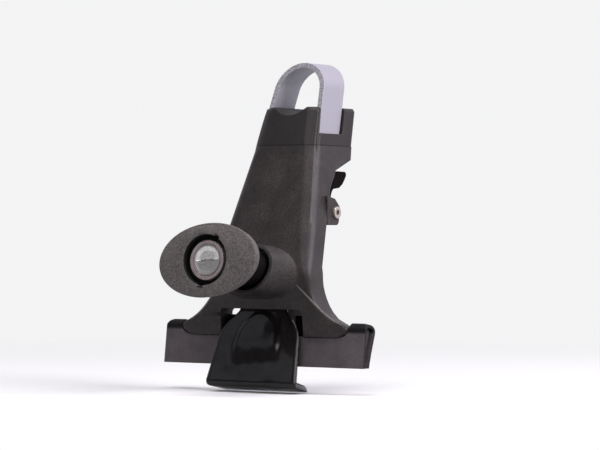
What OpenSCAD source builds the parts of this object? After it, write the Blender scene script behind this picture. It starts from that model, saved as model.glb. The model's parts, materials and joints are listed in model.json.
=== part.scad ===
// Clamp-on foot for a round roof crossbar.
// Origin: on the crossbar's axis, at the strap's middle. Y runs along the bar, inward over the roof,
// Z is up, and X runs along the vehicle. The tower leans, top inward, so its sections shift with height.

/* [Crossbar] */
// Diameter of the crossbar that the saddle and strap hold
bar_d = 28.6; // [26:0.1:30]

/* [Stance] */
// Lean of the tower, top inward, in degrees
lean = 20; // [18:0.5:22]
// Height of the bar's axis above the pad's underside
bar_height = 160.5; // [158:0.5:164]

/* [Strap] */
// Width of the strap along the bar
strap_w = 23; // [18:0.5:24]
// Thickness of the strap
strap_t = 3; // [2:0.1:3.4]
// Flare of each strap leg, in degrees
strap_flare = 5.5; // [4:0.1:6]
// Diameter of the pin through the strap's legs
strap_pin_d = 6; // [4:0.5:7]

/* [Saddle] */
// Depth of the seam between saddle and tower below the bar's axis
seam_drop = 32.3; // [31:0.1:34]
// Depth of the saddle's ear tops below the bar's axis
ear_drop = 9.5; // [8:0.1:10.5]
// Depth of the strap pocket's floor below the bar's axis
pocket_drop = 25.2; // [22:0.1:26.5]
// Width of the tower across X at the seam
seam_w = 44.6; // [44:0.1:48]
// Flare of the saddle's side faces, in degrees
saddle_flare = 6.2; // [5:0.1:7]
// Reach of the front face from the lean line
front_reach = 17; // [16:0.1:19]
// Reach of the rear face from the lean line
rear_reach = 25.4; // [24:0.1:28]

/* [Tower] */
// Flare of the column's sides, in degrees
column_flare = 9.2; // [8.6:0.1:10]
// Wall of the moulding
wall = 3; // [2.4:0.1:3.4]
// Thickness of the plate under the saddle
deck_t = 4; // [3:0.1:4.5]
// Height of the arch between the legs
arch_h = 15.6; // [14:0.1:16.5]
// Width of the arch between the legs
arch_w = 56.6; // [52:0.1:58]

/* [Lever] */
// Distance of the lever's pivot below the bar's axis
pivot_drop = 71.6; // [70.5:0.1:72.5]
// Distance of the lever's pivot behind the lean line
pivot_back = 9; // [8.5:0.1:9.5]
// Diameter of the lever's pivot screw
pivot_d = 5; // [4:0.1:5.4]
// Width of the finger tab
tab_w = 36; // [28:0.5:38]
// Lift of the strap when the lever is open
strap_lift = 3; // [2:0.1:3.2]
// Swing of the lever, in degrees
lever_swing = 85; // [70:1:90]

/* [Knob] */
// Length of the oval knob
knob_l = 65.8; // [56:0.2:68]
// Height of the oval knob
knob_h = 42.2; // [38:0.2:46]
// Thickness of the knob's plate
knob_t = 6.2; // [5:0.1:8]
// Rise of the knob's face from its rim to the bore
knob_crown = 2; // [0:0.1:3]
// Turn of the oval from level, in degrees
knob_turn = 5.8; // [0:0.2:10]
// Upward tilt of the knob's axis, in degrees
axis_tilt = 7; // [6:0.5:8]
// Diameter of the barrel's mouth around the knob's hub
barrel_d = 29.8; // [28.8:0.2:31]
// Diameter of the draw screw's thread
screw_d = 8; // [6:0.2:8.4]

/* [Lock] */
// Diameter of the lock's housing
lock_d = 22.7; // [20:0.1:23.4]
// Diameter of the lock's turning face
plug_d = 16.3; // [14:0.1:17]

/* [Clip] */
// Thickness of the clip's sheet
clip_t = 2.5; // [2:0.1:2.6]
// Width of the clip at its lower edge
clip_w = 61.8; // [56:0.2:66]
// Width of the clip's neck in the arch
neck_w = 29.8; // [28.6:0.2:30.6]
// Reach of the clip's lower lip
lip_l = 15.6; // [13:0.2:18]
// Slope of the clip's plate from upright, in degrees
clip_slope = 16.8; // [15:0.2:18]

/* [Pad] */
// Length of the rubber pad
pad_l = 137.2; // [130:0.2:144]
// Wall of the rubber pad
pad_wall = 2.2; // [1.6:0.1:2.6]
// Thickness of the rubber under the rail
pad_floor = 3; // [2:0.1:4]

/* [Hidden] */
$fn = 72;
tiny = 0.01;
big = 200;
fit = 0.3;
run = 0.08;

bar_r = bar_d / 2;
tan_lean = tan(lean);
seam_z = -seam_drop;
floor_z = -bar_height;

// Where the lean line passes at a height
function line_y(z) = z * tan_lean;
// A rounding arc's points, from one angle to another
function arc(cx, cy, r, a0, a1, n) = [for (i = [0:n]) let (a = a0 + (a1 - a0) * i / n) [cx + r * cos(a), cy + r * sin(a)]];
// A quarter ellipse's rise, 0 at the start and 1 at the end
function sweep_out(t) = 1 - sqrt(1 - pow(min(max(t, 0), 1), 2));
function lerp(a, b, t) = a + (b - a) * t;
function clamp01(t) = min(max(t, 0), 1);
function smooth(t) = let (c = clamp01(t)) c * c * (3 - 2 * c);

// The foot's levels
foot_z = floor_z + 17.2;
foot_top_z = foot_z + 6.6;
arch_z = foot_z + arch_h;
flare_front_z = foot_z + 31;
flare_rear_z = foot_z + 39;
column_end_z = foot_z + 36;
foot_half = pad_l / 2 - 11.2;

// Half widths of the tower at a height, at its front and rear edges
function column_half(z) = seam_w / 2 + (seam_z - z) * tan(column_flare);
function saddle_half(z) = seam_w / 2 - (z - seam_z) * tan(saddle_flare);
straight_half = column_half(column_end_z);
function foot_round(z) = let (t = clamp01((foot_top_z - z) / (foot_top_z - foot_z))) foot_half - 5.4 * sweep_out(t);
function front_half(z) = z >= foot_top_z
    ? lerp(min(column_half(z), straight_half), foot_half, 0.96 * sweep_out((flare_front_z - z) / (flare_front_z - foot_top_z - 1.9)))
    : foot_round(z);
function rear_half(z) = z >= foot_top_z
    ? lerp(min(column_half(z), straight_half), foot_half, 0.97 * sweep_out((flare_rear_z - z) / (flare_rear_z - foot_top_z + 0.4)))
    : foot_round(z);
// Front face of the tower at a height: leaning, then tucked in towards the pad
leg_front_y = -50.6;
tuck_z = foot_z + 40;
function front_y(z) = z >= tuck_z
    ? line_y(z) - front_reach
    : lerp(line_y(tuck_z) - front_reach - 1, leg_front_y, smooth((tuck_z - z) / (tuck_z - foot_z)))
      + 1 * (1 - clamp01((tuck_z - z) / 6));
// Rear edge of the tower: a deep head, a waist behind the lever, a slim column and legs
leg_rear_y = -38.3;
head_z = seam_z - 8;
shoulder_z = head_z - 6.6;
waist_z = shoulder_z - 11.6;
function rear_y(z) =
    z >= head_z ? line_y(z) + rear_reach
    : z >= shoulder_z ? line_y(z) + lerp(rear_reach, 9, (head_z - z) / (head_z - shoulder_z))
    : z >= waist_z ? line_y(z) + lerp(9, 4, smooth((shoulder_z - z) / (shoulder_z - waist_z)))
    : z >= tuck_z ? line_y(z) + lerp(4, 0.4, (waist_z - z) / (waist_z - tuck_z))
    : lerp(line_y(tuck_z) + 0.4, leg_rear_y, smooth((tuck_z - z) / 12));

// One level ring of the tower: a rounded section with a slightly bowed front
front_bow = 1;
function bowed(p, half, cy) = p[1] < cy ? [p[0], p[1] + front_bow * pow(p[0] / half, 2)] : p;
function ring(z, wf, wr, yf, yr, rf, rr, n = 4, k = 2) =
    let (m = 4, front = [for (i = [1:m - 1]) [lerp(-wf + rf, wf - rf, i / m), yf]],
         pts = concat(front, arc(wf - rf, yf + rf, rf, -90, 0, n), arc(wr - rr, yr - rr, rr, 0, 90, k),
                      arc(-wr + rr, yr - rr, rr, 90, 180, k), arc(-wf + rf, yf + rf, rf, 180, 270, n)))
    [for (p = pts) let (q = bowed(p, wf, (yf + yr) / 2)) [q[0], q[1], z]];
// A closed skin over rings of equal count, listed downward
module skin(rings) {
    n = len(rings[0]);
    k = len(rings);
    points = [for (r = rings) each r];
    sides = [for (j = [0:k - 2]) for (i = [0:n - 1]) each
        [[j * n + i, j * n + (i + 1) % n, (j + 1) * n + (i + 1) % n], [j * n + i, (j + 1) * n + (i + 1) % n, (j + 1) * n + i]]];
    top = [for (i = [n - 1:-1:0]) i];
    bottom = [for (i = [0:n - 1]) (k - 1) * n + i];
    polyhedron(points, concat([top], sides, [bottom]), convexity = 6);
}

front_round = 8;
leg_round = 2.6;
rear_round = 1.6;
function round_at(z) = lerp(front_round, leg_round, smooth((tuck_z + 14 - z) / 26));
levels = concat([seam_z, head_z, shoulder_z], [for (t = [0.33, 0.66, 1]) lerp(shoulder_z, waist_z, t)], [for (t = [0.5, 1]) lerp(waist_z, tuck_z + 6, t)],
                [for (i = [0:9]) tuck_z - (tuck_z - foot_top_z) * i / 9], [for (i = [1:3]) lerp(foot_top_z, foot_z, i / 3)]);

module tower_outer() {
    skin([for (z = levels) ring(z, front_half(z), rear_half(z), front_y(z), rear_y(z), round_at(z), rear_round)]);
}
// The hollow behind the front wall, open at the rear
hollow_top_z = seam_z - deck_t;
hollow_levels = [hollow_top_z, head_z, shoulder_z, waist_z, tuck_z + 4, tuck_z - 8, arch_z + 10, arch_z, foot_top_z + 4, foot_top_z, foot_z + wall];
module tower_hollow() {
    skin([for (z = hollow_levels)
        ring(z, front_half(z) - wall, rear_half(z) - wall, front_y(z) + wall, rear_y(z) + big / 10, max(round_at(z) - wall, 1), 0.5, 2, 1)]);
}

// The strap: its outline seen along the bar, and the room that its legs need
strap_r = bar_r + strap_t;
pin_drop = seam_drop + 13.6;
leg_end = 6.6;
function leg_out(drop) = strap_r / cos(strap_flare) + drop * tan(strap_flare);
function leg_in(drop) = bar_r / cos(strap_flare) + drop * tan(strap_flare);
leg_drop = pin_drop + leg_end;
module strap_leg_outline(grow) {
    polygon([[bar_r * cos(strap_flare) - grow, bar_r * sin(strap_flare)], [strap_r * cos(strap_flare) + grow, strap_r * sin(strap_flare)],
             [leg_out(leg_drop) + grow, -leg_drop], [leg_in(leg_drop) - grow, -leg_drop]]);
}
// A slab that leans with the tower, given its reach in front of and behind the lean line
module leaning_slab(front, rear, top_z, low_z) {
    rotate([90, 0, 90]) translate([0, 0, -big / 2]) linear_extrude(big)
        polygon([[line_y(top_z) - front, top_z], [line_y(low_z) - front, low_z], [line_y(low_z) + rear, low_z], [line_y(top_z) + rear, top_z]]);
}
module along_y(length) {
    rotate([90, 0, 0]) translate([0, 0, -length / 2]) linear_extrude(length) children();
}
module along_x(length) {
    rotate([90, 0, 90]) translate([0, 0, -length / 2]) linear_extrude(length) children();
}
module x_rod(y, z, r, x0, x1) {
    translate([x0, y, z]) rotate([0, 90, 0]) cylinder(r = r, h = x1 - x0);
}
pin_y = line_y(-pin_drop);
strap_room = 0.55;
module strap_way() {
    intersection() {
        along_y(big) for (m = [0, 1]) mirror([m, 0]) strap_leg_outline(strap_room);
        leaning_slab(strap_w / 2 + 0.9, strap_w / 2 + 0.9, 2, -leg_drop - 1);
    }
}

// Saddle screws, fitted from below on both sides of the strap's pin
saddle_screw_x = 9;
saddle_screw_d = 5;
saddle_screw_head_d = 8;
saddle_screw_head_h = 3;
saddle_screw_front = -strap_w / 2 + 2.9;
saddle_screw_rear = strap_w / 2 + 6.9;
saddle_screw_top = seam_z + 10;
screw_spots = [[0, line_y(seam_z) + saddle_screw_front], [-saddle_screw_x, line_y(seam_z) + saddle_screw_rear], [saddle_screw_x, line_y(seam_z) + saddle_screw_rear]];
module saddle_screw_holes(r) {
    for (p = screw_spots)
        translate([p[0], p[1], hollow_top_z - 1]) cylinder(r = r, h = saddle_screw_top - hollow_top_z + 1.5);
}

// The knob's axis: local +Z points outward along it, and depth counts inward from the knob's face
knob_y = -107.5;
knob_rise = 61.5;
knob_z = floor_z + knob_rise;
module on_axis(depth = 0) {
    translate([0, knob_y, knob_z]) rotate([90 - axis_tilt, 0, 0]) translate([0, 0, -depth]) children();
}
function axis_z(y) = knob_z - (y - knob_y) * tan(axis_tilt);
// A cylinder on the knob's axis between two depths
module axis_rod(r, d0, d1) {
    on_axis(d1) cylinder(r = r, h = d1 - d0);
}
barrel_r = barrel_d / 2;
barrel_bore_r = barrel_r - 1.9;
mouth_depth = 44.2;
bearing_out = 54;
bearing_in = 58.5;
journal_r = screw_d / 2 + 1;
mouth_lean = 20;

// The clip swings on the lintel's inner lower edge
lintel_y = front_y(arch_z) + wall + 0.3;
swing_depth = (lintel_y - knob_y) * cos(axis_tilt) - (arch_z - knob_z) * sin(axis_tilt);
swing_drop = -((lintel_y - knob_y) * sin(axis_tilt) + (arch_z - knob_z) * cos(axis_tilt));
neck_front_depth = swing_depth + fit;
neck_rear_depth = neck_front_depth + clip_t;
neck_rise = swing_drop + 8.5;
slot_low = swing_drop - 4.6;
slot_high = swing_drop + 6.2;

// The lever's pivot, and the cam on it that lifts the strap by its links
pivot_y = line_y(-pivot_drop) + pivot_back;
pivot_z = -pivot_drop;
cam_half_swing = lever_swing / 2;
cam_throw = strap_lift / 2 / sin(cam_half_swing);
cam_r = pivot_d / 2 + cam_throw + 1.4;
function cam_centre(a) = [pivot_y + cam_throw * (-cos(a) * cos(lean) + sin(a) * sin(lean)), pivot_z + cam_throw * (cos(a) * sin(lean) + sin(a) * cos(lean))];
cam_rest = cam_centre(-cam_half_swing);
link_x = 7;
link_t = 3;
boss_in = 12.3;
boss_out = 29.5;

module ear_outline() {
    translate([pivot_y, pivot_z]) polygon(concat([[-8.9, 9.6], [-8.9, -7.4]], arc(1.0, -4.6, 2.8, -90, -10, 4), arc(2.9, 2.6, 1.8, 0, 60, 4), [[-0.6, 8.0]]));
}
rib_x = 17.4;
rib_t = 2.4;
module tower_ribs() {
    // Upright ribs beside the screw, a shelf over it and webs in the legs
    intersection() {
        union() {
            for (s = [-1, 1]) translate([s * rib_x - rib_t / 2, -big / 2, arch_z]) cube([rib_t, big, -pivot_drop - 12 - arch_z]);
            translate([-big / 2, -big / 2, -pivot_drop - 12]) cube([big, big, rib_t]);
            for (s = [-1, 1]) translate([s * 31.5 - rib_t / 2, -big / 2, foot_z]) cube([rib_t, big, arch_h]);
        }
        skin([for (z = hollow_levels) ring(z, front_half(z) - 1.2, rear_half(z) - 1.2, front_y(z) + 1.2, rear_y(z) - 1.2, 1, 0.5, 1, 1)]);
    }
}
base_screw_x = foot_half - 17.4;
base_screw_d = 4;
base_screw_y = -44.3;
base_screw_low = foot_z - 5;
base_screw_top = foot_z + 8.5;
module base_bosses() {
    for (s = [-1, 1]) translate([s * base_screw_x, base_screw_y, foot_z + wall / 2]) cylinder(r = 4.6, h = 11);
}
arch_round = 3;
module arch_cut(grow) {
    half = arch_w / 2 + grow;
    r = arch_round + grow;
    along_y(big) polygon(concat([[half, foot_z - 1]], arc(half - r, arch_z + grow - r, r, 0, 90, 5),
        arc(-half + r, arch_z + grow - r, r, 90, 180, 5), [[-half, foot_z - 1]]));
}

module tower_body() {
    color("#33312f") difference() {
        union() {
            difference() {
                union() {
                    tower_outer();
                    barrel_fairing();
                }
                difference() {
                    tower_hollow();
                    arch_cut(wall);
                    axis_rod(barrel_r, mouth_depth, bearing_in);
                    base_bosses();
                    tower_ribs();
                }
            }
            for (m = [0, 1]) mirror([m, 0, 0]) {
                translate([boss_out - 6, 0, 0]) rotate([90, 0, 90]) linear_extrude(6) ear_outline();
                x_rod(pivot_y, pivot_z, pivot_d / 2 + 3, boss_in, boss_out - 1);
            }
        }
        arch_cut(0);
        // The clip's neck passes up behind the lintel
        translate([-neck_w / 2 - 1.2, lintel_y - 0.3, arch_z - 1]) cube([neck_w + 2.4, big, wall + 2]);
        axis_rod(barrel_bore_r, 20, bearing_out);
        axis_rod(journal_r + run, 20, bearing_in + 1);
        strap_way();
        saddle_screw_holes(saddle_screw_d / 2 + run);
        x_rod(pivot_y, pivot_z, pivot_d / 2 + run, -big, big);
        for (s = [-1, 1]) translate([s * base_screw_x, base_screw_y, foot_z - 1]) cylinder(r = base_screw_d / 2 + run, h = base_screw_top - foot_z + 1);
    }
}
// The barrel's outside: it widens from its round, slanted mouth to nearly the column's full width
fairing_half = 33;
fairing_sink = 1.9;
fairing_mid_z = arch_z + 19.4;
fairing_rise = 17.6;
fairing_fall = 14.6;
fairing_points = 40;
// A point on the knob's axis frame: x, height above the axis and depth
function axis_point(x, h, s) = [x, knob_y + s * cos(axis_tilt) + h * sin(axis_tilt), knob_z - s * sin(axis_tilt) + h * cos(axis_tilt)];
function mouth_point(a) = axis_point(barrel_r * cos(a), barrel_r * sin(a), mouth_depth + barrel_r * sin(a) * tan(mouth_lean));
function base_point(a) =
    let (n = sin(a) > 0 ? 1.1 : 0.85, x = fairing_half * sign(cos(a)) * pow(abs(cos(a)), n),
         z = fairing_mid_z + (sin(a) > 0 ? fairing_rise : -fairing_fall) * pow(abs(sin(a)), n))
    [x, front_y(z) + fairing_sink + 2.4 * pow(x / fairing_half, 4), z];
module barrel_fairing() {
    rings = [for (t = [0, 0.3, 0.65, 1]) [for (i = [0:fairing_points - 1])
        let (a = i * 360 / fairing_points, p = mouth_point(a), q = base_point(a)) [for (k = [0:2]) lerp(p[k], q[k], k == 0 ? t : pow(t, 0.85))]]];
    skin(rings);
}

saddle_levels = [-ear_drop, seam_z];
module saddle_cap() {
    color("#2b292b") difference() {
        skin([for (z = [-ear_drop, lerp(-ear_drop, seam_z, 0.08), lerp(-ear_drop, seam_z, 0.5), seam_z])
            let (h = saddle_half(z), e = z > -ear_drop - 0.5 ? 1.2 : 0)
            ring(z, h - e, h - e, line_y(z) - front_reach + e, line_y(z) + rear_reach - e, front_round - e, 2.4 - e)]);
        bar_rod(bar_r);
        strap_way();
        // The strap's pockets in the side faces
        intersection() {
            leaning_slab(strap_w / 2 + 1, strap_w / 2 + 1, 2, -pocket_drop);
            for (m = [0, 1]) mirror([m, 0, 0]) along_y(big)
                polygon([[leg_in(0) - strap_room, 2], [big, 2], [big, -pocket_drop], [leg_in(pocket_drop) - strap_room, -pocket_drop]]);
        }
        saddle_screw_holes(saddle_screw_d / 2 + run);
    }
}

module saddle_screws() {
    color("#9a9a9c") for (p = screw_spots) translate([p[0], p[1], 0]) difference() {
        union() {
            translate([0, 0, hollow_top_z]) cylinder(d = saddle_screw_d, h = saddle_screw_top - hollow_top_z);
            translate([0, 0, hollow_top_z - saddle_screw_head_h]) cylinder(d = saddle_screw_head_d, h = saddle_screw_head_h);
        }
        translate([0, 0, hollow_top_z - saddle_screw_head_h - tiny]) cylinder(d = 4, h = 2, $fn = 6);
    }
}

module crossbar_strap() {
    slip = 0.02;
    top = strap_r * sin(strap_flare) + 0.4;
    color("#c3c1cc") difference() {
        intersection() {
            union() {
                // An arch over the bar, and legs that leave it on a tangent
                difference() {
                    bar_rod(strap_r);
                    translate([-big / 2, -big / 2, -big]) cube([big, big, big]);
                }
                for (s = [-1, 1]) along_y(big) polygon([[s * (leg_in(-top) - slip), top], [s * (leg_out(-top) - slip), top],
                    [s * (leg_out(leg_drop) - slip), -leg_drop], [s * (leg_in(leg_drop) - slip), -leg_drop]]);
            }
            strap_sides();
        }
        bar_rod(bar_r);
        x_rod(pin_y, -pin_drop, strap_pin_d / 2 + run, -big / 2, big / 2);
    }
}
module bar_rod(r) {
    rotate([90, 0, 0]) translate([0, 0, -big / 2]) cylinder(r = r, h = big, $fn = 96);
}
// The strap seen from the side: a leaning band whose legs narrow to the pin
module strap_sides() {
    half = strap_w / 2;
    narrow_z = -seam_drop - 4;
    along_x(big) polygon(concat(
        [[line_y(strap_r + 1) - half, strap_r + 1], [line_y(narrow_z) - half, narrow_z]],
        arc(pin_y, -pin_drop, leg_end, 180 - 10, 360 + 10, 16),
        [[line_y(narrow_z) + half, narrow_z], [line_y(strap_r + 1) + half, strap_r + 1]]));
}

module strap_cross_pin() {
    half = leg_out(pin_drop - 3) - 0.2;
    color("#8f8f92") x_rod(pin_y, -pin_drop, strap_pin_d / 2, -half, half);
}

module pull_links() {
    eye_r = cam_r + 3;
    link_eye_r = strap_pin_d / 2 + 2.4;
    slot_half = cam_throw * (1 - cos(cam_half_swing)) / 2;
    slot_y = cam_rest[0] - slot_half * cos(lean);
    slot_z = cam_rest[1] + slot_half * sin(lean);
    color("#a5a5a8") for (m = [0, 1]) mirror([m, 0, 0]) translate([link_x, 0, 0]) difference() {
        union() {
            x_rod(pin_y, -pin_drop, link_eye_r, 0, link_t);
            x_rod(slot_y, slot_z, eye_r, 0, link_t);
            rotate([90, 0, 90]) linear_extrude(link_t)
                polygon([[pin_y - 4.6, -pin_drop], [slot_y - 5.4, slot_z], [slot_y + 5.4, slot_z], [pin_y + 4.6, -pin_drop]]);
        }
        x_rod(pin_y, -pin_drop, strap_pin_d / 2 + run, -1, link_t + 1);
        for (s = [-1, 1]) x_rod(slot_y + s * (slot_half + 0.05) * cos(lean), slot_z - s * (slot_half + 0.05) * sin(lean), cam_r + 0.15, -1, link_t + 1);
    }
}

module clamp_lever() {
    hub_r = cam_r + 1.2;
    hub_half = link_x - 0.6;
    color("#262527") difference() {
        union() {
            x_rod(pivot_y, pivot_z, hub_r, -hub_half, hub_half);
            for (m = [0, 1]) mirror([m, 0, 0]) x_rod(cam_rest[0], cam_rest[1], cam_r, hub_half - 1, link_x + link_t + 0.8);
            translate([0, pivot_y, pivot_z]) along_x(2 * hub_half)
                polygon([[-4.6, 5.2], [4.8, 12.2], [11.0, 9.4], [7.2, 0], [0, 0]]);
            translate([0, pivot_y, pivot_z]) along_x(tab_w) tab_outline();
        }
        x_rod(pivot_y, pivot_z, pivot_d / 2 + run, -big / 2, big / 2);
    }
}
// The finger tab's side, measured from the pivot
module tab_outline() {
    polygon(concat([[5.2, 11.9], [11.0, 8.9]], arc(20.6, 8.2, 7.4, 172, 128, 5),
                   [[22.5, 14.7], [26.4, 17.0], [29.1, 20.1]], arc(28.6, 22.6, 1.9, -20, 100, 5), [[19.5, 24.6], [8.6, 22.6], [6.6, 19.8]]));
}

pivot_head_d = 7;
module lever_pivot_screw() {
    head_h = 1.6;
    color("#b9b6b2") difference() {
        union() {
            x_rod(pivot_y, pivot_z, pivot_d / 2, -boss_out - 3.4, boss_out + 0.1);
            x_rod(pivot_y, pivot_z, pivot_head_d / 2, boss_out, boss_out + head_h);
        }
        translate([boss_out + head_h - 1.3, pivot_y, pivot_z]) rotate([0, 90, 0]) cylinder(d = 3.6, h = 4, $fn = 6);
    }
}
module lever_pivot_nut() {
    color("#8f8f92") difference() {
        translate([-boss_out - 3, pivot_y, pivot_z]) rotate([0, 90, 0]) cylinder(d = 8.4, h = 3, $fn = 6);
        x_rod(pivot_y, pivot_z, pivot_d / 2 + 0.02, -big / 2, big / 2);
    }
}
module pivot_washers() {
    color("#c0bfbd") for (m = [0, 1]) mirror([m, 0, 0]) difference() {
        x_rod(pivot_y, pivot_z, pivot_d / 2 + 2.4, boss_in - 1.2, boss_in);
        x_rod(pivot_y, pivot_z, pivot_d / 2 + run, 0, big);
    }
}

// Depths along the knob's axis
knob_bore_r = lock_d / 2 + 2.9;
cup_r = knob_bore_r - 0.4;
cup_front = 2.4;
cup_floor = 24;
boss_end = 14;
hub_r_out = 10.5;
head_depth = 25;
head_t = 7;
hub_end = bearing_out - 1.3;
key_angles = [62, 262];
// The oval plate, its rims rounded: one ring of points per depth
knob_edge = 1.6;
oval_points = 72;
function oval_ring(depth, inset) = [for (i = [0:oval_points - 1]) let (a = i * 360 / oval_points) [(knob_l / 2 - inset) * cos(a), (knob_h / 2 - inset) * sin(a), -depth]];
function crown_ring(share) = let (r0 = knob_bore_r + 1.2)
    [for (i = [0:oval_points - 1]) let (a = i * 360 / oval_points)
        [lerp(r0, knob_l / 2 - knob_edge, share) * cos(a), lerp(r0, knob_h / 2 - knob_edge, share) * sin(a), knob_crown * (1 - pow(share, 1.6))]];
module oval_plate() {
    turns = [0, 30, 60, 90];
    rings = concat([for (share = [0:0.25:0.75]) crown_ring(share)],
                   [for (a = turns) oval_ring(knob_edge * (1 - cos(a)), knob_edge * (1 - sin(a)))],
                   [for (a = turns) oval_ring(knob_t - knob_edge * (1 - sin(a)), knob_edge * (1 - cos(a)))]);
    on_axis() rotate([0, 0, knob_turn]) skin(rings);
}
module key_lugs(r_out, width, d0, d1) {
    for (a = key_angles) on_axis(d1) rotate([0, 0, a]) translate([cup_r - 2, -width / 2, 0]) cube([r_out - cup_r + 2, width, d1 - d0]);
}
module knob() {
    color("#3a3938") difference() {
        union() {
            oval_plate();
            on_axis(boss_end) cylinder(r1 = knob_bore_r + 2.2, r2 = knob_bore_r + 3.4, h = boss_end - knob_t + 0.5);
        }
        axis_rod(knob_bore_r, -knob_crown - 1, boss_end + 1);
        key_lugs(knob_bore_r + 1.1, 3.4, -knob_crown - 1, boss_end + 1);
    }
}
module knob_hub() {
    color("#1f1e20") difference() {
        union() {
            axis_rod(cup_r, cup_front, boss_end + 1);
            key_lugs(knob_bore_r + 0.8, 3, cup_front + 1.5, boss_end + 1);
            axis_rod(knob_bore_r + 1.8, boss_end + 0.2, boss_end + 2.6);
            axis_rod(cup_r - 0.9, boss_end + 2, cup_floor + 3);
            axis_rod(hub_r_out, cup_floor + 1, hub_end);
        }
        axis_rod(lock_d / 2 + run, -1, 20);
        axis_rod(lock_d / 2 - 1.6, 19, cup_floor);
        on_axis(head_depth + head_t) cylinder(d = 15.2, h = head_t + 2, $fn = 6);
        axis_rod(journal_r + run, head_depth, hub_end + 1);
    }
}
lock_front = 0;
lock_end = 19.8;
face_end = 4.2;
tail_r = 5;
module lock_housing() {
    color("#8d8486") difference() {
        axis_rod(lock_d / 2, lock_front, lock_end);
        axis_rod(plug_d / 2 + run, -1, face_end + 0.2);
        axis_rod(tail_r + run, 0, lock_end + 1);
    }
}
module lock_plug() {
    slot_w = 1.8;
    slot_l = 7.4;
    color("#c9c9c6") difference() {
        union() {
            axis_rod(plug_d / 2, lock_front + 0.2, face_end);
            axis_rod(tail_r, face_end - 0.2, lock_end + 0.4);
            on_axis(lock_end + 2.6) translate([-2, -2, 0]) cube([4, 4, 3]);
        }
        on_axis(14) translate([-slot_l / 2, -slot_w / 2, 0]) cube([slot_l, slot_w, 20]);
    }
}
module lock_cam() {
    color("#77767a") on_axis(lock_end + 2.4) difference() {
        union() {
            cylinder(r = 4.4, h = 2);
            translate([-2.2, 0, 0]) cube([4.4, 8.6, 2]);
        }
        translate([-2, -2, -1]) cube([4, 4, 4]);
    }
}

screw_end = neck_rear_depth + 20.5;
ring_depth = bearing_in + 0.3;
ring_t = 1;
module draw_screw() {
    color("#a9a9ab") difference() {
        union() {
            on_axis(head_depth + head_t) cylinder(d = 15, h = head_t, $fn = 6);
            axis_rod(journal_r, head_depth + head_t - 1, ring_depth + ring_t + 0.6);
            axis_rod(screw_d / 2, ring_depth, screw_end);
            on_axis(screw_end + 1) cylinder(r1 = screw_d / 2 - 1, r2 = screw_d / 2, h = 1);
        }
        difference() {
            axis_rod(journal_r + 1, ring_depth - run, ring_depth + ring_t + run);
            axis_rod(journal_r - 0.8, ring_depth - 1, ring_depth + ring_t + 1);
        }
    }
}
module thrust_washer() {
    color("#b5a36a") difference() {
        axis_rod(barrel_bore_r - 3, bearing_out - 1.1, bearing_out - 0.1);
        axis_rod(journal_r + run, 0, bearing_in);
    }
}
module retaining_ring() {
    color("#6f6f73") difference() {
        axis_rod(journal_r + 2.6, ring_depth, ring_depth + ring_t);
        axis_rod(journal_r - 0.8 + run, 0, big);
        on_axis(ring_depth + ring_t + 1) translate([-journal_r + 1.2, 0, 0]) cube([2 * journal_r - 2.4, big, ring_t + 2]);
    }
}
nut_r = 5;
nut_depth = neck_rear_depth + nut_r + fit;
nut_half = 9.6;
module trunnion_nut() {
    color("#98989b") difference() {
        on_axis(nut_depth) rotate([0, 90, 0]) translate([0, 0, -nut_half]) cylinder(r = nut_r, h = 2 * nut_half);
        axis_rod(screw_d / 2 + run, 0, big);
    }
}

// The clip's sheet: a neck square to the screw, a sloping plate and a lower lip
lip_slope = 14;
lip_z = floor_z - 12.4;
bend_r = 4.2;
lip_run = lip_l - bend_r;
plate_top_y = lintel_y + fit * cos(axis_tilt);
function plate_y(z) = plate_top_y - (arch_z - z) * tan(clip_slope);
bend_cz = lip_z + bend_r;
bend_cy = plate_top_y + (bend_r + (bend_cz - arch_z) * sin(clip_slope)) / cos(clip_slope);
function shifted(p, d) = [p[0] - d * sin(axis_tilt), p[1] - d * cos(axis_tilt)];
neck_top = [plate_top_y + neck_rise * sin(axis_tilt), arch_z + neck_rise * cos(axis_tilt)];
module clip_sheet(offset_in, t, from_neck, lip) {
    // A sheet that lies offset_in behind the clip's front, t thick
    a0 = offset_in;
    a1 = offset_in + t;
    outer = concat(
        from_neck ? [[neck_top[0] + a0 * cos(axis_tilt), neck_top[1] - a0 * sin(axis_tilt)], [plate_top_y + a0, arch_z]]
                  : [[plate_y(floor_z + 6) + a0 / cos(clip_slope), floor_z + 6]],
        arc(bend_cy, bend_cz, bend_r - a0, 180 - clip_slope, 270 - lip_slope, 8),
        [[bend_cy - (bend_r - a0) * sin(lip_slope) + lip * cos(lip_slope), bend_cz - (bend_r - a0) * cos(lip_slope) - lip * sin(lip_slope)]]);
    inner = concat(
        [[bend_cy - (bend_r - a1) * sin(lip_slope) + lip * cos(lip_slope), bend_cz - (bend_r - a1) * cos(lip_slope) - lip * sin(lip_slope)]],
        arc(bend_cy, bend_cz, bend_r - a1, 270 - lip_slope, 180 - clip_slope, 8),
        from_neck ? [[plate_top_y + a1, arch_z], [neck_top[0] + a1 * cos(axis_tilt), neck_top[1] - a1 * sin(axis_tilt)]]
                  : [[plate_y(floor_z + 6) + a1 / cos(clip_slope), floor_z + 6]]);
    along_x(big) polygon(concat(outer, inner));
}
shoulder_low_z = foot_z + 0.6;
shoulder_high_z = arch_z - 1.4;
shoulder_half = 27.2;
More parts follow.
